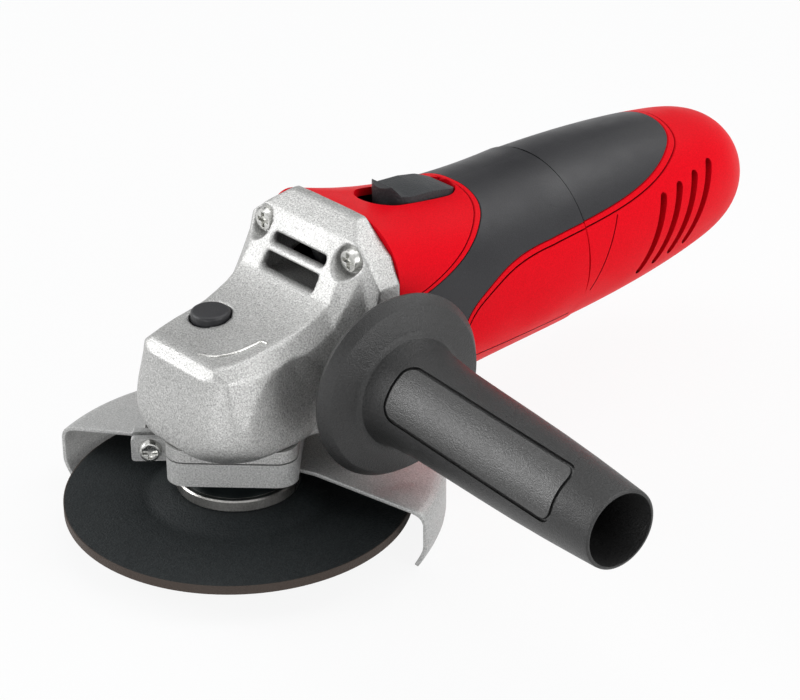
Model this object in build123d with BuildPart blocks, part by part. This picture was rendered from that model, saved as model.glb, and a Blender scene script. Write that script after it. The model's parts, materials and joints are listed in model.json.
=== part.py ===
from math import atan2, cos, degrees, hypot, pi, radians, sin
import os

from build123d import *

os.makedirs("parts", exist_ok=True)

# Driving dimensions, in millimetres. The spindle stands on Z, the motor lies along Y behind it
# and the side handle leaves towards X. Zero is the clamp nut's lower face, on the spindle axis.
disc_radius = 57.5
disc_thickness = 3.0
hub_raise = 4.0
hub_top = hub_raise + disc_thickness
thread_radius = 7.0
journal_radius = 6.0
top_journal = 4.0
inner_flange_radius = 20.5
nut_radius = 18.8
motor_z = 53.0
neck_radius = 19.92
neck_bottom = 16.2
cover_bottom = 25.7
bowl_bottom = 30.0
chamber_radius = 21.4
chamber_top = 49.5
bush_bottom = 45.0
nose_front = -25.6
flange_half = 32.3
flange_front = 33.0
seam_front = 43.0
seam_middle = 131.0
tail_end = 231.0
body_bottom = 20.4
shell_wall = 2.8
grip_depth = 1.8
grip_gap = 0.45
seam_gap = 0.3
lip_width = 2.0
line_width = 0.55
line_depth = 0.8
screw_side = 21.0
screw_high = 84.0
screw_low = 29.0
screw_seat = 33.5
window_half = 13.0
handle_sweep = 6.0
handle_z = 50.0
handle_rim = (45.9, 29.4)
handle_length = 107.6
stud_radius = 4.0
boss_end = -7.5
guard_turn = 22.0
guard_radius = 68.2
guard_sheet = 1.4
collar_across = 42.4
collar_corner = 6.6
cover_screw_circle = 23.4
ear_turn = 229.0
ear_reach = 28.0
lock_x = -11.0
lock_radius = 6.5
lock_pin_radius = 1.8
lock_travel = 4.5
lock_hole_count = 4
spanner_circle = 30.0
spanner_radius = 2.5
shaft_radius = 4.0
rotor_radius = 17.0
stator_radius = 28.9
running_gap = 0.03
moving_gap = 0.4

# Bevel gears: straight teeth of one module whose cones meet where the two axes cross.
gear_module = 1.1
pinion_teeth = 12
crown_teeth = 36
face_width = 5.0
tooth_share = 0.37
tooth_slope = 20.0
pinion_reach = gear_module * pinion_teeth / 2
crown_reach = gear_module * crown_teeth / 2
cone_length = hypot(pinion_reach, crown_reach)
inner_share = (cone_length - face_width) / cone_length
tooth_tip = 0.75 * gear_module
tooth_root = 1.15 * gear_module
tooth_foot = tooth_root + 0.4
pinion_bore = 3.0

motor_axis = Axis((0, 0, motor_z), (0, 1, 0))
screw_spots = [(side, height) for side in (screw_side, -screw_side) for height in (screw_high, screw_low)]
handle_way = Vector(cos(radians(handle_sweep)), -sin(radians(handle_sweep)), 0)


def motor_plane(y):
    """A plane across the motor axis, facing the tail."""
    return Plane(origin=(0, y, motor_z), x_dir=(1, 0, 0), z_dir=(0, 1, 0))


def upright_plane(angle):
    """A plane that holds the spindle axis: its x points outward at the angle and its y up."""
    turn = radians(angle)
    return Plane(origin=(0, 0, 0), x_dir=(cos(turn), sin(turn), 0), z_dir=(sin(turn), -cos(turn), 0))


def handle_plane(distance, side=1):
    """A plane across the handle's axis, that far out from the rim of its hand guard."""
    way = Vector(side * handle_way.X, handle_way.Y, 0)
    centre = Vector(side * handle_rim[0], handle_rim[1], handle_z) + way * distance
    return Plane(origin=centre, x_dir=(0, 0, 1), z_dir=way)


def ring(plane, length, outer, inner):
    """A plain ring that stands on the plane."""
    with BuildPart() as made:
        with BuildSketch(plane):
            Circle(outer)
            Circle(inner, mode=Mode.SUBTRACT)
        extrude(amount=length)
    return made


def ball_bearing(plane, width, outer, inner):
    """A shielded ball bearing, with a groove in each face where the shield sits."""
    groove_depth = 0.5
    with BuildPart() as made:
        with BuildSketch(plane):
            Circle(outer)
            Circle(inner, mode=Mode.SUBTRACT)
        extrude(amount=width)
        for face in (plane, plane.offset(width - groove_depth)):
            with BuildSketch(face):
                Circle(inner + 0.75 * (outer - inner))
                Circle(inner + 0.25 * (outer - inner), mode=Mode.SUBTRACT)
            extrude(amount=groove_depth, mode=Mode.SUBTRACT)
    return made


def cross_head_screws(planes, head_radius, head_height, shank_radius, shank_length):
    """Domed cross-head screws: each plane lies under a head and faces out along it."""
    slot_width = 0.36 * head_radius
    with BuildPart() as made:
        for plane in planes:
            with BuildSketch(plane.offset(-shank_length)):
                Circle(shank_radius)
            extrude(amount=shank_length)
            with BuildSketch(plane):
                Circle(head_radius)
            extrude(amount=head_height, taper=16)
            with BuildSketch(plane.offset(0.4 * head_height)):
                Rectangle(1.25 * head_radius, slot_width)
                Rectangle(slot_width, 1.25 * head_radius)
            extrude(amount=head_height, mode=Mode.SUBTRACT)
    return made


def body_section(y, width, bottom, top, corner, inset):
    """One rounded section of the front casing, inset from its outside."""
    with BuildSketch(Plane.XZ.offset(-y)) as made:
        with Locations((0, (bottom + top) / 2)):
            RectangleRounded(width - 2 * inset, top - bottom - 2 * inset, corner - inset)
    return made.sketch


def front_body(inset, front, rear):
    """The front casing's outside, or the same shape inset, between two stations."""
    sections = [(front, 64.4, body_bottom, 93.6, 19.0), (62, 64.8, body_bottom, 89.6, 26.0)]
    sections += [(98, 65.0, body_bottom, 85.4, 31.0), (rear, 63.8, body_bottom + 0.7, 84.9, 30.6)]
    faces = [body_section(*section, inset).face() for section in sections]
    with BuildPart() as made:
        loft(sections=faces)
    return made.part


def rear_body(inset, front, rear):
    """The rear casing's outside, turned about the motor axis, or the same shape inset."""
    stations = [(125, 32.1), (150, 31.4), (175, 29.7), (200, 26.6), (220.5, 20.6)]
    end_radius = 10.0
    outline = [(y, motor_z + radius - inset) for y, radius in stations]
    outline.append((tail_end - inset, motor_z + end_radius - inset))
    with BuildPart() as made:
        with BuildSketch(Plane.YZ):
            with BuildLine():
                Spline(*outline)
                Polyline(outline[-1], (tail_end - inset, motor_z), (125, motor_z), outline[0])
            make_face()
        revolve(axis=motor_axis)
        with BuildSketch(motor_plane(front)):
            Circle(2 * flange_half)
        extrude(amount=rear - front, mode=Mode.INTERSECT)
    return made.part


def grip_prism(inset):
    """The soft grip's outline seen from the side, drawn in by the inset, through the whole body."""
    top = motor_z + 2 * flange_half
    saddle = [(48, 67.2), (60, 69.9), (76, 74), (88.7, 79.4), (94.6, 83.6), (96.2, 88)]
    rear_edge = [(193.5, 84), (190, 78.4), (184, 75.6), (172, 72.1), (145, 68.4), (114, 66.9)]
    front_edge = [(114, 66.9), (102, 66.3), (92, 64.3), (84, 61), (76.6, 56.4), (71.5, 49)]
    saddle = [(y + 0.8 * inset, z - 0.6 * inset) for y, z in saddle]
    rear_edge = [(y - 0.5 * inset, z + inset) for y, z in rear_edge]
    front_edge = [(y - 0.5 * inset, z + inset) for y, z in front_edge]
    with BuildPart() as made:
        with BuildSketch(Plane.YZ):
            with BuildLine():
                Spline(*saddle)
                Polyline(saddle[-1], (saddle[-1][0], top), (rear_edge[0][0], top), rear_edge[0])
                Spline(*rear_edge)
                Spline(*front_edge)
                ThreePointArc(front_edge[-1], (55 + inset, 48 + inset), saddle[0])
            make_face()
        extrude(amount=2 * flange_half, both=True)
    return made.part


def side_line(points, shift_y, shift_z):
    """A narrow strip through the whole body along points of the side view, as wide as the shift."""
    shifted = [(y + shift_y, z + shift_z) for y, z in reversed(points)]
    with BuildPart() as made:
        with BuildSketch(Plane.YZ):
            with BuildLine():
                Spline(*points)
                Line(points[-1], shifted[0])
                Spline(*shifted)
                Line(shifted[-1], points[0])
            make_face()
        extrude(amount=2 * flange_half, both=True)
    return made.part


def bevel_tooth(reach, depth, half_pitch):
    """One straight tooth about Z, apex at zero: a wedge between its outer and inner sections."""
    cone = atan2(reach, depth)
    along = Vector(sin(cone), 0, -cos(cone))
    upward = Vector(cos(cone), 0, sin(cone))
    sections = []
    for share in (1.0, inner_share):
        centre = along * (cone_length * share)
        with BuildSketch(Plane(origin=centre, x_dir=(0, 1, 0), z_dir=along)) as section:
            tip_half = share * (half_pitch - tooth_tip * sin(radians(tooth_slope)))
            foot_half = share * (half_pitch + tooth_root * sin(radians(tooth_slope)))
            up = upward.dot(section.workplanes[0].y_dir)
            with BuildLine():
                Polyline(
                    (-foot_half, -up * tooth_foot * share),
                    (foot_half, -up * tooth_foot * share),
                    (tip_half, up * tooth_tip * share),
                    (-tip_half, up * tooth_tip * share),
                    close=True,
                )
            make_face()
        sections.append(section.sketch)
    with BuildPart() as made:
        loft(sections=sections)
    return made.part


def nose_section(z, half, front, corner, back):
    """One level of the cast bowl: a rounded rectangle from its front to a back inside the flange."""
    with BuildSketch(Plane.XY.offset(z)) as made:
        with Locations((0, (front + back) / 2)):
            RectangleRounded(2 * half, back - front, corner)
    return made.sketch


def roof_section(y, half, top, foot):
    """One arch over the head: flat in its middle, with shoulders that fall away to the side walls."""
    skirt = 10.0
    with BuildSketch(Plane.XZ.offset(-y)) as made:
        with BuildLine():
            Polyline(
                (0, top),
                (0.6 * half, top),
                (0.82 * half, top - 0.3 * (top - foot)),
                (half, foot),
                (half + skirt, foot - 4 * skirt),
                (half + skirt, 0),
                (0, 0),
            )
            mirror(about=Plane.YZ)
        make_face()
    return made.sketch


# Gear housing: a cast bowl with drawn-in walls and a rising top, and a square flange behind it.
nose_back = 22.0
nose_levels = [(bowl_bottom, 26.0, -26.0, 19.0), (34.5, 26.4, -26.3, 14.5), (43, 25.8, nose_front, 12.0)]
nose_levels.append((66, 23.9, -23.4, 10.0))
nose_sections = [nose_section(*level, nose_back).face() for level in nose_levels]
nose_tip = (-24.5, 58.0)
nose_top = [nose_tip, (-20.6, 61.5), (-15, 62.2), (-5, 63.2), (3, 64.3), (13, 67.1), (22, 72.3)]
with BuildPart() as nose:
    loft(sections=nose_sections)

# The roof's arches from the nose to the seam: station, half width, height, height of the shoulder's foot.
roof_arches = [(-28.5, 15.5, 59.5, 55.5), (-20, 20.6, 62.6, 58.4), (-15, 22, 63.4, 58.6)]
roof_arches += [(-10, 23, 64.2, 58.5), (-5, 23.6, 65, 58.3), (0, 24, 65.6, 58.4), (5, 24.5, 66.5, 59)]
roof_arches += [(10, 25, 68.2, 60.1), (15, 25.2, 70.6, 61.7), (20, 25.5, 74, 64.6), (25, 26, 79, 71.8)]
roof_arches += [(31, 27, 90, 81), (36, 31, 97, 89)]
roof_arches.append((seam_front + 1, 42, 108, 103))
roof_faces = [roof_section(*arch).face() for arch in roof_arches]
with BuildPart() as roof:
    loft(sections=roof_faces, ruled=True)
with BuildPart() as gear_housing:
    with BuildSketch(Plane.XY.offset(body_bottom)):
        with BuildLine():
            Polyline(
                (0, 0),
                (22.6, 0),
                (27.4, 18),
                (flange_half, 31),
                (flange_half, seam_front),
                (0, seam_front),
            )
            mirror(about=Plane.YZ)
        make_face()
        fillet(vertices().filter_by_position(Axis.Y, 17, 32), 10)
    extrude(amount=80)
    with BuildSketch(Plane.XZ):
        with BuildLine():
            Polyline(
                (0, body_bottom - 1),
                (22, body_bottom - 1),
                (flange_half + 1, 32),
                (flange_half + 1, 74),
                (28.6, 84.5),
                (16.5, 94.4),
                (0, 95.4),
            )
            mirror(about=Plane.YZ)
        make_face()
    extrude(amount=2 * seam_front, both=True, mode=Mode.INTERSECT)
    add(nose.part)
    # The slope and the stepped underside, seen from the side.
    with BuildSketch(Plane.YZ):
        with BuildLine():
            Line((nose_front - 2, 52), nose_tip)
            Spline(*nose_top)
            Polyline(
                nose_top[-1],
                (flange_front, 89.6),
                (39.5, 94.8),
                (seam_front, 94.8),
                (seam_front, body_bottom),
                (34, body_bottom),
                (30, bowl_bottom),
                (nose_front - 2, bowl_bottom),
                (nose_front - 2, 52),
            )
        make_face()
    extrude(amount=2 * flange_half, both=True, mode=Mode.INTERSECT)
    add(roof.part, mode=Mode.INTERSECT)
    # Bosses on both sides take the handle's stud.
    for side in (1, -1):
        with BuildSketch(handle_plane(boss_end, side)):
            Circle(10.5)
        extrude(amount=-16)
    # The gear chamber is open below and keeps a boss for the upper bush.
    with BuildSketch(Plane.XZ):
        with BuildLine():
            Polyline(
                (0, body_bottom),
                (chamber_radius, body_bottom),
                (chamber_radius, chamber_top),
                (9.3, chamber_top),
                (9.3, bush_bottom - 0.3),
                (0, bush_bottom - 0.3),
                close=True,
            )
        make_face()
    revolve(axis=Axis.Z, mode=Mode.SUBTRACT)
    with BuildSketch(Plane.XY.offset(bush_bottom - 1)):
        Circle(7)
    extrude(amount=7.7, mode=Mode.SUBTRACT)
    # Pinion pocket, bearing seat and the hollow behind it.
    for start, length, radius in ((13.8, 14.2, 9.5), (28, 4, 6), (31, 7, 11), (38, 6, 26)):
        with BuildSketch(motor_plane(start)):
            Circle(radius)
        extrude(amount=length, mode=Mode.SUBTRACT)
    # Two cooling slots, one over the other, open through the slope into a wide air duct.
    for slot_low, slot_high in ((72.5, 77.7), (79.9, 83.1)):
        with BuildSketch(Plane.XZ.offset(-12)):
            with Locations((0, (slot_low + slot_high) / 2)):
                RectangleRounded(2 * window_half, slot_high - slot_low, 0.8)
        extrude(amount=-30, mode=Mode.SUBTRACT)
    with BuildSketch(Plane.YZ):
        with BuildLine():
            Polyline((24.6, 70.5), (34.6, 86.5), (seam_front, 86.5), (seam_front, 70.5), close=True)
        make_face()
    extrude(amount=window_half + 1.5, both=True, mode=Mode.SUBTRACT)
    # Screw pockets and holes in the four corners.
    with BuildSketch(Plane.XZ.offset(-screw_seat)):
        with Locations(*screw_spots):
            Circle(5.2)
    extrude(amount=14, mode=Mode.SUBTRACT)
    with BuildSketch(Plane.XZ.offset(-screw_seat)):
        with Locations(*screw_spots):
            Circle(2.2)
    extrude(amount=-14, mode=Mode.SUBTRACT)
    # Lock button's well and its pin's guide.
    with BuildSketch(Plane.XY.offset(lock_travel + chamber_top - 0.5)):
        with Locations((lock_x, 0)):
            Circle(lock_radius + moving_gap)
    extrude(amount=20, mode=Mode.SUBTRACT)
    with BuildSketch(Plane.XY.offset(bush_bottom - 1)):
        with Locations((lock_x, 0)):
            Circle(lock_pin_radius + running_gap)
    extrude(amount=20, mode=Mode.SUBTRACT)
    # Threaded holes for the handle and for the bearing cover's screws.
    for side in (1, -1):
        with BuildSketch(handle_plane(boss_end + 1, side)):
            Circle(stud_radius)
        extrude(amount=-15, mode=Mode.SUBTRACT)
    with BuildSketch(Plane.XY.offset(bowl_bottom)):
        with PolarLocations(cover_screw_circle, 4):
            Circle(1.5)
    extrude(amount=8, mode=Mode.SUBTRACT)
gear_housing.part.label = "gear_housing"
export_step(gear_housing.part, "parts/gear_housing.step")

# Bearing cover: closes the bowl and carries the round neck that the guard clamps on.
with BuildPart() as bearing_cover:
    with BuildSketch(Plane.XY.offset(cover_bottom)):
        RectangleRounded(collar_across, collar_across, collar_corner, rotation=45)
    extrude(amount=bowl_bottom - cover_bottom)
    with BuildSketch(Plane.XY.offset(neck_bottom)):
        Circle(neck_radius)
    extrude(amount=cover_bottom - neck_bottom)
    with BuildSketch(Plane.XY.offset(neck_bottom)):
        Circle(10)
    extrude(amount=20, mode=Mode.SUBTRACT)
    with BuildSketch(Plane.XY.offset(neck_bottom + 1.2)):
        Circle(16)
    extrude(amount=20, mode=Mode.SUBTRACT)
    with BuildSketch(Plane.XY.offset(cover_bottom)):
        with PolarLocations(cover_screw_circle, 4):
            Circle(2.8)
    extrude(amount=1.6, mode=Mode.SUBTRACT)
    with BuildSketch(Plane.XY.offset(cover_bottom)):
        with PolarLocations(cover_screw_circle, 4):
            Circle(1.6)
    extrude(amount=5, mode=Mode.SUBTRACT)
bearing_cover.part.label = "bearing_cover"
export_step(bearing_cover.part, "parts/bearing_cover.step")

cover_planes = []
for corner in range(4):
    turn = radians(90 * corner)
    spot = (cover_screw_circle * cos(turn), cover_screw_circle * sin(turn), cover_bottom + 1.6)
    cover_planes.append(Plane(origin=spot, x_dir=(1, 0, 0), z_dir=(0, 0, -1)))
bearing_cover_screws = cross_head_screws(cover_planes, 2.6, 1.5, 1.45, 9)
bearing_cover_screws.part.label = "bearing_cover_screws"
export_step(bearing_cover_screws.part, "parts/bearing_cover_screws.step")

bearing_seat = neck_bottom + 2.2
spindle_bearing = ball_bearing(Plane.XY.offset(bearing_seat), 10, 16, journal_radius + running_gap)
spindle_bearing.part.label = "spindle_bearing"
export_step(spindle_bearing.part, "parts/spindle_bearing.step")

dust_seal = ring(Plane.XY.offset(neck_bottom + 1.2), 0.9, 15.5, 9.6)
dust_seal.part.label = "dust_seal"
export_step(dust_seal.part, "parts/dust_seal.step")

spindle_bush = ring(Plane.XY.offset(bush_bottom), 6.4, 7, top_journal + running_gap)
spindle_bush.part.label = "spindle_bush"
export_step(spindle_bush.part, "parts/spindle_bush.step")

flange_planes = []
for side, height in screw_spots:
    flange_planes.append(Plane(origin=(side, screw_seat, height), x_dir=(1, 0, 0), z_dir=(0, -1, 0)))
gear_housing_screws = cross_head_screws(flange_planes, 4.2, 2.6, 2.1, 16)
gear_housing_screws.part.label = "gear_housing_screws"
export_step(gear_housing_screws.part, "parts/gear_housing_screws.step")

# Soft grips lie in recesses of the two casings, a hair away from their edges.
front_outside = front_body(0, seam_front, seam_middle - seam_gap)
front_floor = front_body(grip_depth, seam_front - 1, seam_middle + 1)
front_inside = front_body(shell_wall, seam_front - 1, seam_middle + 1)
rear_outside = rear_body(0, seam_middle + seam_gap, tail_end + 1)
rear_floor = rear_body(grip_depth, seam_middle - 1, tail_end + 1)
rear_inside = rear_body(shell_wall, seam_middle - 1, tail_end + 1)
grip_shape = grip_prism(grip_gap)
with BuildPart() as front_recess:
    add(grip_prism(0))
    add(front_floor, mode=Mode.SUBTRACT)
with BuildPart() as rear_recess:
    add(grip_prism(0))
    add(rear_floor, mode=Mode.SUBTRACT)

# Fine lines: one beside the grips' edge, so that a narrow lip stands between them, a bowed one behind
# the middle seam and a low one along the front casing.
bowed_line = side_line([(147, 65.6), (139.3, 53), (133.4, 41.5)], line_width, 0)
low_line = side_line([(66, 36.6), (95, 34), (127, 33.4)], 0, line_width)
with BuildPart() as lip_line:
    add(grip_prism(-lip_width))
    add(grip_prism(line_width - lip_width), mode=Mode.SUBTRACT)
with BuildPart() as front_marks:
    add(lip_line.part)
    add(low_line)
with BuildPart() as rear_marks:
    add(lip_line.part)
    add(bowed_line)
with BuildPart() as front_line:
    add(front_outside)
    add(front_body(line_depth, seam_front - 1, seam_middle + 1), mode=Mode.SUBTRACT)
    add(front_marks.part, mode=Mode.INTERSECT)
with BuildPart() as rear_line:
    add(rear_outside)
    add(rear_body(line_depth, seam_middle - 1, tail_end + 1), mode=Mode.SUBTRACT)
    add(rear_marks.part, mode=Mode.INTERSECT)

with BuildPart() as front_grip:
    add(front_outside)
    add(front_floor, mode=Mode.SUBTRACT)
    add(grip_shape, mode=Mode.INTERSECT)
front_grip.part.label = "front_grip"
export_step(front_grip.part, "parts/front_grip.step")

with BuildPart() as rear_grip:
    add(rear_outside)
    add(rear_floor, mode=Mode.SUBTRACT)
    add(grip_shape, mode=Mode.INTERSECT)
rear_grip.part.label = "rear_grip"
export_step(rear_grip.part, "parts/rear_grip.step")

# Motor housing: the front casing, with the switch's slot in its top and four screw bosses.
slot_front = 55.1
slot_rear = 94.2
slot_half = 9.2
with BuildPart() as screw_bosses:
    with BuildSketch(Plane.XZ.offset(-seam_front)):
        with Locations(*screw_spots):
            Circle(5.6)
    extrude(amount=-9)
    add(front_outside, mode=Mode.INTERSECT)

with BuildPart() as motor_housing:
    add(front_outside)
    add(front_inside, mode=Mode.SUBTRACT)
    add(screw_bosses.part)
    with BuildSketch(Plane.XZ.offset(-seam_front)):
        with Locations(*screw_spots):
            Circle(2.12)
    extrude(amount=-8, mode=Mode.SUBTRACT)
    add(front_recess.part, mode=Mode.SUBTRACT)
    add(front_line.part, mode=Mode.SUBTRACT)
    with BuildSketch(Plane.XY.offset(motor_z + 20)):
        with Locations((0, (slot_front + slot_rear) / 2)):
            SlotOverall(slot_rear - slot_front, 2 * slot_half, rotation=90)
    extrude(amount=40, mode=Mode.SUBTRACT)
motor_housing.part.label = "motor_housing"
export_step(motor_housing.part, "parts/motor_housing.step")

# Rear cover: the tapered tail, with four slanted air slots on each side and the cord's inlet.
slot_count = 4
with BuildPart() as rear_cover:
    add(rear_outside)
    add(rear_inside, mode=Mode.SUBTRACT)
    add(rear_recess.part, mode=Mode.SUBTRACT)
    add(rear_line.part, mode=Mode.SUBTRACT)
    for index in range(slot_count):
        low = (160.4 + 8.1 * index, 37.6 + 1.2 * index)
        high = (172.6 + 9.7 * index, 65.4 + 0.8 * index)
        middle = ((low[0] + high[0]) / 2, (low[1] + high[1]) / 2)
        lean = degrees(atan2(high[1] - low[1], high[0] - low[0]))
        with BuildSketch(Plane.YZ):
            with Locations(middle):
                SlotOverall(hypot(high[0] - low[0], high[1] - low[1]), 3.4, rotation=lean)
        extrude(amount=2 * flange_half, both=True, mode=Mode.SUBTRACT)
    with BuildSketch(motor_plane(tail_end - 10)):
        Circle(6)
    extrude(amount=20, mode=Mode.SUBTRACT)
rear_cover.part.label = "rear_cover"
export_step(rear_cover.part, "parts/rear_cover.step")

# The gland lines the cord's inlet, with a lip on each side of the wall.
gland_bore = 4.0
with BuildPart() as cord_gland:
    with BuildSketch(motor_plane(tail_end - 6)):
        Circle(7.0)
    extrude(amount=6 - shell_wall - 0.05)
    with BuildSketch(motor_plane(tail_end - 6)):
        Circle(5.95)
    extrude(amount=6.4)
    with BuildSketch(motor_plane(tail_end - 6)):
        Circle(gland_bore)
    extrude(amount=10, mode=Mode.SUBTRACT)
cord_gland.part.label = "cord_gland"
export_step(cord_gland.part, "parts/cord_gland.step")

# Motor: field ring with two open sides where its coils lie.
rod_half = 4.0
channel_floor = 76.2
stator_front = 80.0
stator_rear = 118.0
with BuildPart() as stator_core:
    with BuildSketch(motor_plane(stator_front)):
        Circle(stator_radius)
        Circle(rotor_radius + 0.6, mode=Mode.SUBTRACT)
        for side in (1, -1):
            with Locations((side * 19, 0)):
                Rectangle(9, 24, mode=Mode.SUBTRACT)
        with Locations((0, -(channel_floor - motor_z + 5))):
            Rectangle(2 * rod_half + 2, 10, mode=Mode.SUBTRACT)
    extrude(amount=stator_rear - stator_front)
stator_core.part.label = "stator_core"
export_step(stator_core.part, "parts/stator_core.step")

with BuildPart() as field_coils:
    with BuildSketch(motor_plane(stator_front - 6)):
        for side in (1, -1):
            with Locations((side * 20.2, 0)):
                Rectangle(5.8, 23)
    extrude(amount=stator_rear - stator_front + 12)
field_coils.part.label = "field_coils"
export_step(field_coils.part, "parts/field_coils.step")

with BuildPart() as fan_baffle:
    with BuildSketch(motor_plane(63)):
        Circle(29.0)
        Circle(20.0, mode=Mode.SUBTRACT)
        with Locations((0, -(channel_floor - motor_z + 5))):
            Rectangle(2 * rod_half + 2, 10, mode=Mode.SUBTRACT)
    extrude(amount=2)
fan_baffle.part.label = "fan_baffle"
export_step(fan_baffle.part, "parts/fan_baffle.step")

front_motor_bearing = ball_bearing(motor_plane(31), 7, 11, shaft_radius + running_gap)
front_motor_bearing.part.label = "front_motor_bearing"
export_step(front_motor_bearing.part, "parts/front_motor_bearing.step")

rear_bearing_front = 153.0
rear_journal = 3.5
rear_motor_bearing = ball_bearing(motor_plane(rear_bearing_front), 6, 9.5, rear_journal + running_gap)
rear_motor_bearing.part.label = "rear_motor_bearing"
export_step(rear_motor_bearing.part, "parts/rear_motor_bearing.step")

bearing_sleeve = ring(motor_plane(rear_bearing_front), 6, 11, 9.5)
bearing_sleeve.part.label = "bearing_sleeve"
export_step(bearing_sleeve.part, "parts/bearing_sleeve.step")

with BuildPart() as bearing_bracket:
    with BuildSketch(motor_plane(rear_bearing_front - 1)):
        Circle(27.6)
        Circle(11, mode=Mode.SUBTRACT)
        with PolarLocations(19, 6, start_angle=30):
            Circle(4, mode=Mode.SUBTRACT)
        with Locations((0, -(channel_floor - motor_z + 5))):
            Rectangle(2 * rod_half + 2, 10, mode=Mode.SUBTRACT)
    extrude(amount=8)
bearing_bracket.part.label = "bearing_bracket"
export_step(bearing_bracket.part, "parts/bearing_bracket.step")

commutator_radius = 10.5
brush_y = 141.0
with BuildPart() as brush_holders:
    for side in (1, -1):
        with Locations((side * 18.5, brush_y, motor_z)):
            Box(13, 9, 8)
            Box(20, 6.2, 5.2, mode=Mode.SUBTRACT)
brush_holders.part.label = "brush_holders"
export_step(brush_holders.part, "parts/brush_holders.step")

with BuildPart() as carbon_brushes:
    for side in (1, -1):
        with Locations((side * 15.4, brush_y, motor_z)):
            Box(9, 6, 5)
carbon_brushes.part.label = "carbon_brushes"
export_step(carbon_brushes.part, "parts/carbon_brushes.step")

with BuildPart() as brush_springs:
    for side in (1, -1):
        with BuildSketch(Plane(origin=(side * 19.95, brush_y, motor_z), z_dir=(side, 0, 0))):
            Circle(2.2)
            Circle(1.5, mode=Mode.SUBTRACT)
        extrude(amount=5)
brush_springs.part.label = "brush_springs"
export_step(brush_springs.part, "parts/brush_springs.step")

with BuildPart() as switch_block:
    with Locations((0, 184, motor_z + 6)):
        Box(20, 28, 22)
switch_block.part.label = "switch_block"
export_step(switch_block.part, "parts/switch_block.step")

# Side handle: a hand guard and a hollow grip, turned about the swept axis.
with BuildPart() as side_handle:
    grip_side = Plane(origin=handle_plane(0).origin, x_dir=handle_way, z_dir=(handle_way.Y, -handle_way.X, 0))
    with BuildSketch(grip_side):
        with BuildLine():
            Polyline(
                (handle_length, 0),
                (handle_length, 12.2),
                (handle_length - 0.7, 12.9),
            )
            Spline((handle_length - 0.7, 12.9), (70, 15.0), (25, 16.2), (13, 17.2), (9, 17.7))
            Polyline(
                (9, 17.7),
                (6.4, 18.6),
                (5.2, 20.4),
                (3.6, 28.6),
                (0, 31.2),
                (-1.6, 30.6),
                (-2.4, 21),
                (boss_end + 0.1, 13),
                (boss_end + 0.1, 0),
                (handle_length, 0),
            )
        make_face()
    revolve(axis=Axis(handle_plane(0).origin, handle_way))
    with BuildSketch(handle_plane(handle_length - 70)):
        Circle(11.6)
    extrude(amount=71, mode=Mode.SUBTRACT)
    with BuildSketch(handle_plane(boss_end)):
        Circle(stud_radius)
    extrude(amount=30, mode=Mode.SUBTRACT)
side_handle.part.label = "side_handle"
export_step(side_handle.part, "parts/side_handle.step")

with BuildPart() as handle_stud:
    with BuildSketch(handle_plane(boss_end - 13)):
        Circle(stud_radius)
    extrude(amount=40)
handle_stud.part.label = "handle_stud"
export_step(handle_stud.part, "parts/handle_stud.step")

# Spindle group: everything that turns about Z.
gear_seat = 38.6
with BuildPart() as spindle:
    with BuildSketch(Plane.XZ):
        with BuildLine():
            Polyline(
                (0, 0.4),
                (thread_radius - 1, 0.4),
                (thread_radius, 1.4),
                (thread_radius, 15.6),
                (9, 15.6),
                (9, bearing_seat - 0.05),
                (journal_radius, bearing_seat - 0.05),
                (journal_radius, 44.2),
                (top_journal, 44.2),
                (top_journal, 51),
                (0, 51),
                close=True,
            )
        make_face()
    revolve(axis=Axis.Z)
spindle.part.label = "spindle"
export_step(spindle.part, "parts/spindle.step")

with BuildPart() as inner_flange:
    with BuildSketch(Plane.XZ):
        with BuildLine():
            Polyline(
                (thread_radius, hub_top),
                (inner_flange_radius - 0.5, hub_top),
                (inner_flange_radius, hub_top + 0.5),
                (inner_flange_radius, hub_top + 3.6),
                (inner_flange_radius - 0.5, hub_top + 4.1),
                (18.4, hub_top + 4.1),
                (18.4, 15.5),
                (thread_radius, 15.5),
                close=True,
            )
        make_face()
    revolve(axis=Axis.Z)
inner_flange.part.label = "inner_flange"
export_step(inner_flange.part, "parts/inner_flange.step")

with BuildPart() as grinding_disc:
    with BuildSketch(Plane.XZ):
        with BuildLine():
            Polyline(
                (thread_radius, hub_raise),
                (21, hub_raise),
                (29, 0),
                (disc_radius, 0),
                (disc_radius, disc_thickness),
                (30, disc_thickness),
                (22, hub_top),
                (thread_radius, hub_top),
                close=True,
            )
        make_face()
        fillet(vertices().filter_by_position(Axis.X, 20, 31), 6)
    revolve(axis=Axis.Z)
grinding_disc.part.label = "grinding_disc"
export_step(grinding_disc.part, "parts/grinding_disc.step")

with BuildPart() as clamp_nut:
    with BuildSketch(Plane.XY):
        Circle(nut_radius)
        Circle(thread_radius, mode=Mode.SUBTRACT)
    extrude(amount=hub_raise)
    with BuildSketch(Plane.XY):
        with PolarLocations(spanner_circle / 2, 2):
            Circle(spanner_radius)
    extrude(amount=hub_raise, mode=Mode.SUBTRACT)
clamp_nut.part.label = "clamp_nut"
export_step(clamp_nut.part, "parts/clamp_nut.step")

web_top = 43.6
crown_tooth = bevel_tooth(crown_reach, pinion_reach, tooth_share * pi * gear_module / 2)
crown_cone = atan2(crown_reach, pinion_reach)
root_outer = (crown_reach - tooth_root * cos(crown_cone), -pinion_reach - tooth_root * sin(crown_cone))
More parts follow.
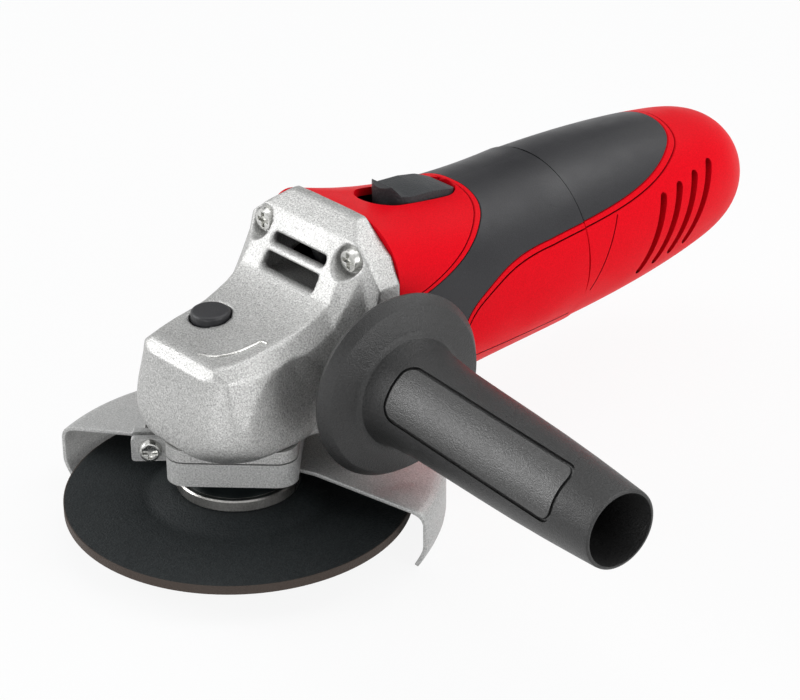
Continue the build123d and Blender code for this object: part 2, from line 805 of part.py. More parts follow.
# The blank runs a little past both ends of its teeth.
rim_share = 1.02
bore_share = 0.96 * inner_share
with BuildPart() as crown_gear:
    with BuildSketch(Plane.XZ):
        with BuildLine():
            Polyline(
                (journal_radius, gear_seat),
                (root_outer[0] * rim_share, gear_seat),
                (root_outer[0] * rim_share, motor_z + root_outer[1] * rim_share),
                (root_outer[0] * bore_share, motor_z + root_outer[1] * bore_share),
                (root_outer[0] * bore_share, web_top),
                (journal_radius, web_top),
                close=True,
            )
        make_face()
    revolve(axis=Axis.Z)
    with PolarLocations(0, crown_teeth):
        with Locations((0, 0, motor_z)):
            add(crown_tooth)
    with BuildSketch(Plane.XY.offset(gear_seat)):
        with PolarLocations(-lock_x, lock_hole_count):
            Circle(lock_pin_radius + 0.3)
    extrude(amount=10, mode=Mode.SUBTRACT)
crown_gear.part.label = "crown_gear"
export_step(crown_gear.part, "parts/crown_gear.step")

# Armature group: everything that turns about the motor axis.
with BuildPart() as armature_shaft:
    for start, end, radius in ((15.2, 25, pinion_bore), (25, 151, shaft_radius), (151, 160, rear_journal)):
        with BuildSketch(motor_plane(start)):
            Circle(radius)
        extrude(amount=end - start)
armature_shaft.part.label = "armature_shaft"
export_step(armature_shaft.part, "parts/armature_shaft.step")

pinion_tooth = bevel_tooth(pinion_reach, crown_reach, tooth_share * pi * gear_module / 2)
pinion_cone = atan2(pinion_reach, crown_reach)
heel = (pinion_reach - tooth_root * cos(pinion_cone), crown_reach + tooth_root * sin(pinion_cone))
toe = (heel[0] * inner_share, heel[1] * inner_share)
pinion_stand = Plane(origin=(0, 0, motor_z), x_dir=(1, 0, 0), z_dir=(0, -1, 0))
with BuildPart() as pinion:
    with BuildSketch(Plane.YZ):
        with BuildLine():
            Polyline(
                (toe[1], motor_z + pinion_bore),
                (toe[1], motor_z + toe[0]),
                (heel[1], motor_z + heel[0]),
                (24.6, motor_z + heel[0]),
                (24.6, motor_z + pinion_bore),
                close=True,
            )
        make_face()
    revolve(axis=motor_axis)
    with Locations(pinion_stand):
        with PolarLocations(0, pinion_teeth, start_angle=180 / pinion_teeth):
            add(pinion_tooth)
pinion.part.label = "pinion"
export_step(pinion.part, "parts/pinion.step")

fan_front = 46.0
blade_count = 14
with BuildPart() as cooling_fan:
    with BuildSketch(motor_plane(fan_front)):
        Circle(9)
    extrude(amount=12)
    with BuildSketch(motor_plane(fan_front + 10.4)):
        Circle(25)
    extrude(amount=1.6)
    with BuildSketch(motor_plane(fan_front)):
        with PolarLocations(16.5, blade_count):
            Rectangle(16.6, 1.4)
    extrude(amount=10.6)
    with BuildSketch(motor_plane(fan_front)):
        Circle(shaft_radius)
    extrude(amount=20, mode=Mode.SUBTRACT)
cooling_fan.part.label = "cooling_fan"
export_step(cooling_fan.part, "parts/cooling_fan.step")

slot_number = 12
with BuildPart() as armature_core:
    with BuildSketch(motor_plane(stator_front)):
        Circle(rotor_radius)
        Circle(shaft_radius, mode=Mode.SUBTRACT)
        with PolarLocations(rotor_radius - 2.5, slot_number):
            Rectangle(7, 2.2, mode=Mode.SUBTRACT)
    extrude(amount=stator_rear - stator_front)
armature_core.part.label = "armature_core"
export_step(armature_core.part, "parts/armature_core.step")

with BuildPart() as armature_windings:
    for start in (stator_front - 9, stator_rear):
        with BuildSketch(motor_plane(start)):
            Circle(15.5)
            Circle(shaft_radius + 1, mode=Mode.SUBTRACT)
        extrude(amount=9)
armature_windings.part.label = "armature_windings"
export_step(armature_windings.part, "parts/armature_windings.step")

bar_count = 24
with BuildPart() as commutator:
    with BuildSketch(motor_plane(132)):
        Circle(commutator_radius)
        Circle(shaft_radius, mode=Mode.SUBTRACT)
        with PolarLocations(commutator_radius, bar_count):
            Rectangle(1.6, 0.4, mode=Mode.SUBTRACT)
    extrude(amount=18)
commutator.part.label = "commutator"
export_step(commutator.part, "parts/commutator.step")

# Spindle lock: a sprung button with a pin that drops into the crown gear's web.
button_bottom = 60.8
button_top = 65.8
button_skin = 1.5
with BuildPart() as lock_button:
    with BuildSketch(Plane.XY.offset(button_bottom)):
        with Locations((lock_x, 0)):
            Circle(lock_radius)
    extrude(amount=button_top - button_bottom)
    fillet(lock_button.edges().group_by(Axis.Z)[-1], 1.2)
    for hole_radius, depth in ((4.2, 3), (lock_pin_radius, button_top - button_skin - button_bottom)):
        with BuildSketch(Plane.XY.offset(button_bottom)):
            with Locations((lock_x, 0)):
                Circle(hole_radius)
        extrude(amount=depth, mode=Mode.SUBTRACT)
lock_button.part.label = "lock_button"
export_step(lock_button.part, "parts/lock_button.step")

with BuildPart() as lock_pin:
    with BuildSketch(Plane.XY.offset(web_top + 0.5)):
        with Locations((lock_x, 0)):
            Circle(lock_pin_radius)
    extrude(amount=button_top - button_skin - web_top - 0.5)
lock_pin.part.label = "lock_pin"
export_step(lock_pin.part, "parts/lock_pin.step")

spring_bottom = lock_travel + chamber_top - 0.4
spring_length = 5.2
lock_spring = ring(Plane(origin=(lock_x, 0, spring_bottom), z_dir=(0, 0, 1)), spring_length, 3.6, 2.4)
lock_spring.part.label = "lock_spring"
export_step(lock_spring.part, "parts/lock_spring.step")

# Slide switch: a thumb piece in the slot and the rod that it pushes and pulls.
thumb_half = 8.5
thumb_front = 62.9
thumb_rear = 93.6
thumb_floor = 82.0
with BuildPart() as switch_slider:
    with BuildSketch(Plane.YZ):
        with BuildLine():
            Polyline(
                (thumb_front, thumb_floor),
                (thumb_front, 91.6),
                (64.4, 92.2),
                (66.8, 90.4),
                (71, 89.9),
                (79, 89.2),
                (86.5, 87.6),
                (91, 86),
                (thumb_rear, 84),
                (thumb_rear, thumb_floor),
                close=True,
            )
        make_face()
    extrude(amount=thumb_half, both=True)
    with BuildSketch(Plane.XY.offset(motor_z)):
        with Locations((0, (thumb_front + thumb_rear) / 2)):
            SlotOverall(thumb_rear - thumb_front, 2 * thumb_half, rotation=90)
    extrude(amount=60, mode=Mode.INTERSECT)
switch_slider.part.label = "switch_slider"
export_step(switch_slider.part, "parts/switch_slider.step")

with BuildPart() as switch_rod:
    with BuildSketch(Plane.XY.offset(channel_floor + 1)):
        with Locations((0, 117)):
            Rectangle(2 * rod_half, 98)
    extrude(amount=2)
    with BuildSketch(Plane.XY.offset(channel_floor + 1)):
        with Locations((0, 76)):
            Rectangle(2 * rod_half, 16)
    extrude(amount=thumb_floor - channel_floor - 1)
switch_rod.part.label = "switch_rod"
export_step(switch_rod.part, "parts/switch_rod.step")

# Guard group: the half shell, the clamp band with its ears, and the clamp's screw and nut.
ear_plane = upright_plane(ear_turn)
ear_low = 16.9
ear_high = 25.2
ear_gap = 1.2
ear_sheet = 2.4
ear_z = 21.2
ear_end = 34.2
ear_root = 14.0
shell_inner = 21.0
with BuildPart() as guard_shell:
    with BuildSketch(upright_plane(guard_turn)):
        with BuildLine():
            Polyline(
                (shell_inner, ear_low - guard_sheet),
                (28, ear_low - guard_sheet),
                (63.6, 10),
                (65.8, 9),
                (guard_radius - guard_sheet, 7.2),
                (guard_radius - guard_sheet, -2),
                (65.4, -5.4),
                (63.7, -8.6),
                (65, -9.2),
                (66.9, -5.6),
                (guard_radius, -2),
                (guard_radius, 7.6),
                (66.7, 10.3),
                (63.9, 11.5),
                (28, ear_low),
                (shell_inner, ear_low),
                close=True,
            )
        make_face()
    revolve(axis=Axis.Z, revolution_arc=180)
guard_shell.part.label = "guard_shell"
export_step(guard_shell.part, "parts/guard_shell.step")

with BuildPart() as guard_band:
    with BuildSketch(Plane.XY.offset(ear_low)):
        RectangleRounded(collar_across, collar_across, collar_corner, rotation=45)
    extrude(amount=ear_high - ear_low)
    with BuildSketch(ear_plane):
        with Locations(((ear_root + ear_end) / 2, (ear_low + ear_high) / 2)):
            RectangleRounded(ear_end - ear_root, ear_high - ear_low, 1.2)
    extrude(amount=ear_gap + ear_sheet, both=True)
    with BuildSketch(Plane.XY.offset(ear_low)):
        Circle(neck_radius + 0.07)
    extrude(amount=ear_high - ear_low, mode=Mode.SUBTRACT)
    with BuildSketch(ear_plane):
        with Locations((28, (ear_low + ear_high) / 2)):
            Rectangle(20, 20)
    extrude(amount=ear_gap, both=True, mode=Mode.SUBTRACT)
    with BuildSketch(ear_plane):
        with Locations((ear_reach, ear_z)):
            Circle(2.1)
    extrude(amount=10, both=True, mode=Mode.SUBTRACT)
guard_band.part.label = "guard_band"
export_step(guard_band.part, "parts/guard_band.step")

clamp_face = ear_plane.offset(-ear_gap - ear_sheet)
clamp_spot = clamp_face.from_local_coords((ear_reach, ear_z, 0))
clamp_plane = Plane(origin=clamp_spot, x_dir=ear_plane.x_dir, z_dir=-ear_plane.z_dir)
guard_screw = cross_head_screws([clamp_plane], 3.9, 2.2, 2.0, 2 * (ear_gap + ear_sheet) + 3.4)
guard_screw.part.label = "guard_screw"
export_step(guard_screw.part, "parts/guard_screw.step")

with BuildPart() as guard_nut:
    with BuildSketch(ear_plane.offset(ear_gap + ear_sheet)):
        with Locations((ear_reach, ear_z)):
            RegularPolygon(4.0, 6)
            Circle(2.0, mode=Mode.SUBTRACT)
    extrude(amount=3.2)
guard_nut.part.label = "guard_nut"
export_step(guard_nut.part, "parts/guard_nut.step")
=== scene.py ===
# %% [markdown]
# # An angle grinder, dressed in Blender
# The solid pieces of this tool are already modelled to size and arrive as a fixed frame. This lesson
# gives them their finishes, models the forms that a solid modeller leaves plain, and sets the studio.
# We start by loading the frame and keeping its box, because nothing we add may grow past it.

import json
from math import cos, pi, radians, sin

import bpy
from mathutils import Matrix, Vector

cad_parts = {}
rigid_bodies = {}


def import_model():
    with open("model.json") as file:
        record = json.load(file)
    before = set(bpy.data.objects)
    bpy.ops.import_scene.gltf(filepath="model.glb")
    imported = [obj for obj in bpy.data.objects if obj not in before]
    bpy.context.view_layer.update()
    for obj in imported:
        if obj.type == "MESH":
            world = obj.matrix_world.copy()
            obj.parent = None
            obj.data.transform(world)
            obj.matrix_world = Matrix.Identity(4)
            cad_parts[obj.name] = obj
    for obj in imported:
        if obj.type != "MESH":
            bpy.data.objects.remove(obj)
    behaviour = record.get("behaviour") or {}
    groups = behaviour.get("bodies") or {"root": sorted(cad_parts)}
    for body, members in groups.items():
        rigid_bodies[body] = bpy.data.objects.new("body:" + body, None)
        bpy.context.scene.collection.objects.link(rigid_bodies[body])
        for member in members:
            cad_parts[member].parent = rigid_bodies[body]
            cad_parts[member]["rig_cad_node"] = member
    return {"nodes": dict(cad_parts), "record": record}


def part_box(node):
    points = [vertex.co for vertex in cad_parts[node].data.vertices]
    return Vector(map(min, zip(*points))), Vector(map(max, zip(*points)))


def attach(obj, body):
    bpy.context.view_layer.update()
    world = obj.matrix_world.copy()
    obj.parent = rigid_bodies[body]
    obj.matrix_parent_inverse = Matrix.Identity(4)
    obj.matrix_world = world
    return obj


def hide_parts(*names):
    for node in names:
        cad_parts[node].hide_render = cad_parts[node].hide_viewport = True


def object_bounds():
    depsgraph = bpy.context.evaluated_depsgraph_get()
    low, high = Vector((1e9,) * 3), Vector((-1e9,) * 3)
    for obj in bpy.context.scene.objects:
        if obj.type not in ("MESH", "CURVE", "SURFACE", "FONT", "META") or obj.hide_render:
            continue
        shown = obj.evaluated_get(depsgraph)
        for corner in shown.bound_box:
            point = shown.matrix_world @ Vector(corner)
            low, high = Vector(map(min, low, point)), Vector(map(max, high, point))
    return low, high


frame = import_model()
cad_low, cad_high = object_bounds()
mm = 0.001
print("nodes", len(frame["nodes"]), "size", [round(edge, 4) for edge in cad_high - cad_low])

# %% [markdown]
# ## Camera
# The picture was taken from the tool's front corner with a long lens. A camera can be aimed with a
# constraint, but a turn, a height and a distance say the same thing in numbers that we can reason
# about, so we build its three axes ourselves and slide it sideways until the framing is right.

# %% Camera
view_turn = radians(47.75)
view_height = radians(28.23)
view_roll = radians(-0.39)
view_distance = 0.86807
slide_right = 0.05297
slide_up = 0.04878

back = Vector((sin(view_turn) * cos(view_height), -cos(view_turn) * cos(view_height), sin(view_height)))
level = Vector((cos(view_turn), sin(view_turn), 0))
rise = back.cross(level)
across = level * cos(view_roll) + rise * sin(view_roll)
upward = rise * cos(view_roll) - level * sin(view_roll)

bpy.ops.object.camera_add()
camera = bpy.context.object
camera.data.lens = 118.52
camera.data.sensor_width = 36
camera.data.clip_end = 50
turn = Matrix((across, upward, back)).transposed().to_4x4()
stand = across * slide_right + upward * slide_up + back * view_distance
camera.matrix_world = Matrix.Translation(stand) @ turn
bpy.context.scene.camera = camera
print("camera at", [round(value, 3) for value in camera.matrix_world.translation])

# %% [markdown]
# ## Floor and light
# A product picture has a white ground and broad soft light. The floor could be lit until it turns
# white, but that would burn the tool as well. Instead the floor and the sky are white only to rays
# that the camera or a reflection sends, and the lamps stay at a plain level. The last lamp is weak and
# low in front: it only opens the shaded walls that face us.

# %% Floor
def seen_rays(tree):
    """One for the rays by which the ground is seen: straight, in a reflection or through glass."""
    rays = tree.nodes.new("ShaderNodeLightPath")
    total = rays.outputs["Is Camera Ray"]
    for kind in ("Is Glossy Ray", "Is Transmission Ray"):
        either = tree.nodes.new("ShaderNodeMath")
        either.operation = "MAXIMUM"
        tree.links.new(total, either.inputs[0])
        tree.links.new(rays.outputs[kind], either.inputs[1])
        total = either.outputs[0]
    return total


bpy.ops.object.select_all(action="DESELECT")
bpy.ops.mesh.primitive_plane_add(size=6, location=(0, 0, cad_low.z))
floor = bpy.context.object
floor.name = "floor"

white_share = 0.9
paper = bpy.data.materials.new("white_paper")
paper.use_nodes = True
nodes, links = paper.node_tree.nodes, paper.node_tree.links
nodes.clear()
matte = nodes.new("ShaderNodeBsdfDiffuse")
matte.inputs["Color"].default_value = (0.86, 0.86, 0.86, 1)
glow = nodes.new("ShaderNodeEmission")
share = nodes.new("ShaderNodeMath")
share.operation = "MULTIPLY"
share.inputs[1].default_value = white_share
blend = nodes.new("ShaderNodeMixShader")
result = nodes.new("ShaderNodeOutputMaterial")
links.new(seen_rays(paper.node_tree), share.inputs[0])
links.new(share.outputs[0], blend.inputs[0])
links.new(matte.outputs[0], blend.inputs[1])
links.new(glow.outputs[0], blend.inputs[2])
links.new(blend.outputs[0], result.inputs["Surface"])
floor.data.materials.append(paper)
print("floor at", round(cad_low.z, 4))

# %% Sky
world = bpy.data.worlds.new("studio")
bpy.context.scene.world = world
world.use_nodes = True
nodes, links = world.node_tree.nodes, world.node_tree.links
nodes.clear()
soft = nodes.new("ShaderNodeBackground")
soft.inputs["Color"].default_value = (0.9, 0.95, 1, 1)
soft.inputs["Strength"].default_value = 0.3
white = nodes.new("ShaderNodeBackground")
blend = nodes.new("ShaderNodeMixShader")
result = nodes.new("ShaderNodeOutputWorld")
links.new(seen_rays(world.node_tree), blend.inputs[0])
links.new(soft.outputs[0], blend.inputs[1])
links.new(white.outputs[0], blend.inputs[2])
links.new(blend.outputs[0], result.inputs["Surface"])
print("sky set")

# %% Lamps
middle = (cad_low + cad_high) / 2


def soft_box(name, place, width, height, power):
    """A large soft lamp that faces the tool."""
    bpy.ops.object.light_add(type="AREA", location=place)
    lamp = bpy.context.object
    lamp.name = name
    lamp.data.shape = "RECTANGLE"
    lamp.data.size = width
    lamp.data.size_y = height
    lamp.data.energy = power
    lamp.rotation_euler = (middle - Vector(place)).to_track_quat("-Z", "Y").to_euler()


soft_box("overhead_lamp", (-0.1, 0.25, 1.1), 0.9, 0.7, 3)
soft_box("front_lamp", (-0.75, -0.72, 0.55), 0.9, 0.6, 8)
soft_box("side_lamp", (1.15, 0.28, 0.38), 0.5, 0.5, 6)
soft_box("rim_lamp", (0.3, 0.85, 0.95), 0.8, 0.5, 4)
soft_box("fill_lamp", (0.45, -0.9, 0.16), 0.7, 0.3, 2.2)
bpy.context.scene.view_settings.view_transform = "Standard"
print("lamps", len(bpy.data.lights))

# %% [markdown]
# ## Black cards
# Bare metal shows only what it mirrors, and in an all-white room it turns flat and pale. Studio
# photographers stand black cards just outside the picture, so that the metal has something dark to
# mirror and its forms read. One card leans behind the tool and one stands behind the camera.

# %% Cards
black = bpy.data.materials.new("black_card")
black.use_nodes = True
black.node_tree.nodes["Principled BSDF"].inputs["Base Color"].default_value = (0.012, 0.012, 0.012, 1)
black.node_tree.nodes["Principled BSDF"].inputs["Roughness"].default_value = 0.9


def card(name, place, width, height):
    """A black card that faces the tool."""
    bpy.ops.object.select_all(action="DESELECT")
    bpy.ops.mesh.primitive_plane_add(size=1, location=place)
    board = bpy.context.object
    board.name = name
    board.scale = (width, height, 1)
    board.rotation_euler = (middle - Vector(place)).to_track_quat("Z", "Y").to_euler()
    board.data.materials.append(black)


card("far_card", (-0.85, 0.78, 0.68), 0.9, 0.5)
card("near_card", (0.95, -0.75, 0.95), 0.9, 0.5)
print("cards", 2)

# %% [markdown]
# ## Shared effects
# Nearly every surface here has a fine grain: blasted metal, spark-eroded plastic, bonded grit. Rather
# than draw the noise again in each material, we build it once as a node group with a scale of its own.
# The group gives a mask for colour and a height for the bump; the shader itself stays outside.

# %% Grain group
def grain_group(name, detail, low, high):
    """A node group that turns noise on the object's own coordinates into a mask between 0 and 1."""
    group = bpy.data.node_groups.new(name, "ShaderNodeTree")
    group.interface.new_socket("Scale", in_out="INPUT", socket_type="NodeSocketFloat")
    group.interface.new_socket("Mask", in_out="OUTPUT", socket_type="NodeSocketFloat")
    entry = group.nodes.new("NodeGroupInput")
    leave = group.nodes.new("NodeGroupOutput")
    place = group.nodes.new("ShaderNodeTexCoord")
    noise = group.nodes.new("ShaderNodeTexNoise")
    noise.inputs["Detail"].default_value = detail
    noise.inputs["Roughness"].default_value = 0.6
    spread = group.nodes.new("ShaderNodeMapRange")
    spread.inputs["From Min"].default_value = low
    spread.inputs["From Max"].default_value = high
    group.links.new(place.outputs["Object"], noise.inputs["Vector"])
    group.links.new(entry.outputs["Scale"], noise.inputs["Scale"])
    group.links.new(noise.outputs[0], spread.inputs["Value"])
    group.links.new(spread.outputs[0], leave.inputs["Mask"])
    return group


fine_grain = grain_group("fine_grain", 2.0, 0.3, 0.7)
slow_cloud = grain_group("slow_cloud", 3.0, 0.35, 0.65)
print("groups", [group.name for group in bpy.data.node_groups])

# %% [markdown]
# ## Finishes
# One function lays out the usual chain: the fine grain mixes two tones, a slow cloud drifts the
# roughness so that no large face is even, and the grain also feeds the bump. Each finish then
# differs only in its own numbers, which are set on the shader's sockets where they do not vary.

# %% Finish function
finishes = {}
cloud_scale = 45
relief_depth = 0.2 * mm


def finish(name, dark, light, grain_scale, rough, rough_drift, bump, metal=0.0, shine=0.5):
    """A grained material: two tones, a drifting roughness and a bump of the same grain."""
    material = bpy.data.materials.new("fine_" + name)
    finishes[name] = material
    material.use_nodes = True
    nodes, links = material.node_tree.nodes, material.node_tree.links
    shader = nodes["Principled BSDF"]
    shader.inputs["Metallic"].default_value = metal
    shader.inputs["Specular IOR Level"].default_value = shine
    grain = nodes.new("ShaderNodeGroup")
    grain.node_tree = fine_grain
    grain.inputs["Scale"].default_value = grain_scale
    cloud = nodes.new("ShaderNodeGroup")
    cloud.node_tree = slow_cloud
    cloud.inputs["Scale"].default_value = cloud_scale
    tone = nodes.new("ShaderNodeMix")
    tone.data_type = "RGBA"
    tone.inputs["A"].default_value = (*dark, 1)
    tone.inputs["B"].default_value = (*light, 1)
    drift = nodes.new("ShaderNodeMapRange")
    drift.inputs["To Min"].default_value = rough - rough_drift
    drift.inputs["To Max"].default_value = rough + rough_drift
    relief = nodes.new("ShaderNodeBump")
    relief.inputs["Strength"].default_value = bump
    relief.inputs["Distance"].default_value = relief_depth
    links.new(grain.outputs["Mask"], tone.inputs["Factor"])
    links.new(tone.outputs["Result"], shader.inputs["Base Color"])
    links.new(cloud.outputs["Mask"], drift.inputs["Value"])
    links.new(drift.outputs["Result"], shader.inputs["Roughness"])
    links.new(grain.outputs["Mask"], relief.inputs["Height"])
    links.new(relief.outputs["Normal"], shader.inputs["Normal"])
    return material


# %% Metal finishes
cast_alloy = finish("cast_alloy", (0.28, 0.28, 0.275), (0.62, 0.62, 0.61), 2000, 0.47, 0.05, 0.36, metal=0.9)
guard_coat = finish("guard_coat", (0.3, 0.3, 0.295), (0.58, 0.58, 0.57), 2000, 0.5, 0.06, 0.32, metal=0.4)
zinc = finish("zinc", (0.5, 0.5, 0.48), (0.72, 0.72, 0.7), 1500, 0.22, 0.06, 0.08, metal=1.0)
finish("bright_steel", (0.46, 0.45, 0.43), (0.6, 0.59, 0.57), 1200, 0.26, 0.06, 0.05, metal=1.0)
finish("dark_steel", (0.1, 0.1, 0.105), (0.18, 0.18, 0.18), 1800, 0.4, 0.08, 0.1, metal=0.9)
finish("bearing_steel", (0.6, 0.6, 0.61), (0.7, 0.7, 0.71), 900, 0.15, 0.04, 0.03, metal=1.0)
finish("spring_steel", (0.5, 0.5, 0.5), (0.62, 0.62, 0.62), 1100, 0.25, 0.05, 0.05, metal=1.0)
finish("bronze", (0.45, 0.3, 0.14), (0.6, 0.43, 0.22), 1500, 0.35, 0.08, 0.1, metal=1.0)
finish("copper", (0.42, 0.2, 0.1), (0.62, 0.32, 0.17), 1300, 0.35, 0.08, 0.3, metal=0.9)
finish("core_iron", (0.12, 0.12, 0.125), (0.24, 0.24, 0.24), 1600, 0.45, 0.08, 0.3, metal=0.8)
print("metals done")

# %% Plastic and rubber finishes
red_shell = finish("red_shell", (0.68, 0.002, 0.008), (0.84, 0.003, 0.013),
                   1900, 0.45, 0.06, 0.08, shine=0.05)
finish("soft_grip", (0.011, 0.011, 0.013), (0.021, 0.021, 0.024), 2200, 0.42, 0.06, 0.12, shine=0.35)
handle_black = finish("handle_black", (0.008, 0.008, 0.008), (0.026, 0.026, 0.026), 1800, 0.42, 0.05, 0.5)
panel_grain = finish("panel_grain", (0.006, 0.006, 0.006), (0.034, 0.034, 0.033),
                     2100, 0.32, 0.04, 0.5, shine=0.9)
finish("switch_black", (0.01, 0.012, 0.014), (0.022, 0.025, 0.028), 1500, 0.5, 0.06, 0.6, shine=0.4)
finish("button_black", (0.01, 0.01, 0.012), (0.018, 0.018, 0.021), 2400, 0.42, 0.05, 0.2)
finish("gland_black", (0.01, 0.01, 0.01), (0.02, 0.02, 0.02), 1800, 0.55, 0.06, 0.2)
finish("inner_plastic", (0.05, 0.05, 0.052), (0.085, 0.085, 0.09), 1800, 0.45, 0.06, 0.15)
finish("carbon", (0.03, 0.03, 0.03), (0.06, 0.06, 0.06), 1600, 0.5, 0.06, 0.2)
print("materials", len(bpy.data.materials))

# %% [markdown]
# ## Painted shade in the gaps and inside the shells
# The shells are dyed through, but little light gets into their air slots and seams, so they read as
# black, and that shade is painted into the red. An ambient occlusion node measures how closed in a spot
# is within two millimetres, and that share paints the slots' walls and the fine grooves dark. The inner
# walls get painted shade by another rule: a face of the inside looks back at the motor's axis, so its
# normal is compared with the direction away from that axis.

# %% Painted shade in gaps and on inner walls
nodes, links = red_shell.node_tree.nodes, red_shell.node_tree.links
axis_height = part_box("armature_shaft")[0].lerp(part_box("armature_shaft")[1], 0.5).z
place = nodes.new("ShaderNodeTexCoord")
away = nodes.new("ShaderNodeVectorMath")
away.operation = "SUBTRACT"
away.inputs[1].default_value = (0, 0, axis_height)
radial = nodes.new("ShaderNodeVectorMath")
radial.operation = "MULTIPLY"
radial.inputs[1].default_value = (1, 0, 1)
unit = nodes.new("ShaderNodeVectorMath")
unit.operation = "NORMALIZE"
facing = nodes.new("ShaderNodeVectorMath")
facing.operation = "DOT_PRODUCT"
# Painted shade: inner faces, which look back at the axis, are marked for the dark tone.
painted_inner_shade = nodes.new("ShaderNodeMapRange")
painted_inner_shade.inputs["From Min"].default_value = -0.25
painted_inner_shade.inputs["From Max"].default_value = -0.5
# Painted shade: a near-black red laid on the slots, grooves and inner walls where shade falls.
painted_shade_tone = nodes.new("ShaderNodeMix")
painted_shade_tone.data_type = "RGBA"
painted_shade_tone.inputs["B"].default_value = (0.012, 0.003, 0.003, 1)
# The occlusion share marks closed-in spots where shade falls, and these get painted shade.
shut_in = nodes.new("ShaderNodeAmbientOcclusion")
shut_in.only_local = True
shut_in.inputs["Distance"].default_value = 2.2 * mm
painted_gap_shade = nodes.new("ShaderNodeMapRange")
painted_gap_shade.inputs["From Min"].default_value = 0.62
painted_gap_shade.inputs["From Max"].default_value = 0.3
# The larger of the two painted-shade shares sets how dark the red turns.
either = nodes.new("ShaderNodeMath")
either.operation = "MAXIMUM"
links.new(place.outputs["Object"], away.inputs[0])
links.new(away.outputs[0], radial.inputs[0])
links.new(radial.outputs[0], unit.inputs[0])
links.new(unit.outputs[0], facing.inputs[0])
links.new(place.outputs["Normal"], facing.inputs[1])
links.new(facing.outputs["Value"], painted_inner_shade.inputs["Value"])
links.new(shut_in.outputs["AO"], painted_gap_shade.inputs["Value"])
links.new(painted_inner_shade.outputs["Result"], either.inputs[0])
links.new(painted_gap_shade.outputs["Result"], either.inputs[1])
links.new(either.outputs[0], painted_shade_tone.inputs["Factor"])
links.new(nodes["Mix"].outputs["Result"], painted_shade_tone.inputs["A"])
links.new(painted_shade_tone.outputs["Result"], nodes["Principled BSDF"].inputs["Base Color"])
print("axis at", round(axis_height, 4))

# %% [markdown]
# ## Bonded grit
# The disc is black resin and grit over a glass mesh, and its worn rim shows brown. A ring of another
# material would need cut faces; measuring the distance from the spindle inside the material is simpler,
# because the disc is centred on that axis.

# %% Disc finish
abrasive = finish("abrasive", (0.004, 0.006, 0.007), (0.018, 0.022, 0.023), 1500, 0.62, 0.06, 0.7, shine=0.25)
nodes, links = abrasive.node_tree.nodes, abrasive.node_tree.links
rim_radius = (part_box("grinding_disc")[1].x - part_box("grinding_disc")[0].x) / 2
place = nodes.new("ShaderNodeTexCoord")
flat = nodes.new("ShaderNodeVectorMath")
flat.operation = "MULTIPLY"
flat.inputs[1].default_value = (1, 1, 0)
reach = nodes.new("ShaderNodeVectorMath")
reach.operation = "LENGTH"
edge = nodes.new("ShaderNodeMapRange")
edge.inputs["From Min"].default_value = rim_radius - 0.5 * mm
edge.inputs["From Max"].default_value = rim_radius - 0.15 * mm
rim_tone = nodes.new("ShaderNodeMix")
rim_tone.data_type = "RGBA"
rim_tone.inputs["B"].default_value = (0.06, 0.045, 0.037, 1)
black_tone = nodes["Mix"]
links.new(place.outputs["Object"], flat.inputs[0])
links.new(flat.outputs[0], reach.inputs[0])
links.new(reach.outputs["Value"], edge.inputs["Value"])
links.new(edge.outputs["Result"], rim_tone.inputs["Factor"])
links.new(black_tone.outputs["Result"], rim_tone.inputs["A"])
links.new(rim_tone.outputs["Result"], nodes["Principled BSDF"].inputs["Base Color"])
print("disc rim at", round(rim_radius, 4))

# %% [markdown]
# ## Polished flange
# The flange over the disc has a ground lower rim and a polished neck that mirrors the dark disc. Both
# belong to one turned piece, so the height inside the material decides where the neck begins. The
# neck's mirror image of the disc is a painted reflection: its colour is set near black.

# %% Flange finish
flange_steel = finish("flange_steel", (0.42, 0.41, 0.39), (0.6, 0.59, 0.57), 1400, 0.3, 0.06, 0.1, metal=1.0)
nodes, links = flange_steel.node_tree.nodes, flange_steel.node_tree.links
neck_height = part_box("inner_flange")[0].z + 4.1 * mm
place = nodes.new("ShaderNodeTexCoord")
split = nodes.new("ShaderNodeSeparateXYZ")
above = nodes.new("ShaderNodeMapRange")
above.inputs["From Min"].default_value = neck_height - 0.1 * mm
above.inputs["From Max"].default_value = neck_height + 0.1 * mm
# Painted reflection: the neck's near-black colour stands in for the dark disc that it mirrors.
painted_reflection_tone = nodes.new("ShaderNodeMix")
painted_reflection_tone.data_type = "RGBA"
painted_reflection_tone.inputs["B"].default_value = (0.02, 0.025, 0.026, 1)
ground_tone = nodes["Mix"]
links.new(place.outputs["Object"], split.inputs[0])
links.new(split.outputs["Z"], above.inputs["Value"])
links.new(above.outputs["Result"], painted_reflection_tone.inputs["Factor"])
links.new(ground_tone.outputs["Result"], painted_reflection_tone.inputs["A"])
links.new(painted_reflection_tone.outputs["Result"], nodes["Principled BSDF"].inputs["Base Color"])
print("flange neck from", round(neck_height, 4))

# %% [markdown]
# ## Finishes onto the solid pieces
# The record names a material slot for every piece. Matching each slot's name with a finish of the
# same name dresses all the pieces in one loop, so none can be forgotten.

# %% Dress the nodes
slot_of = {part["node"]: part["material_slot"] for part in frame["record"]["subparts"]}
own_finish = {"inner_flange": flange_steel, "gear_housing": cast_alloy, "bearing_cover": cast_alloy}
for node, piece in frame["nodes"].items():
    chosen = own_finish.get(node) or finishes[slot_of[node]]
    for holder in piece.material_slots:
        holder.material = chosen
print("dressed", len(slot_of), "pieces")

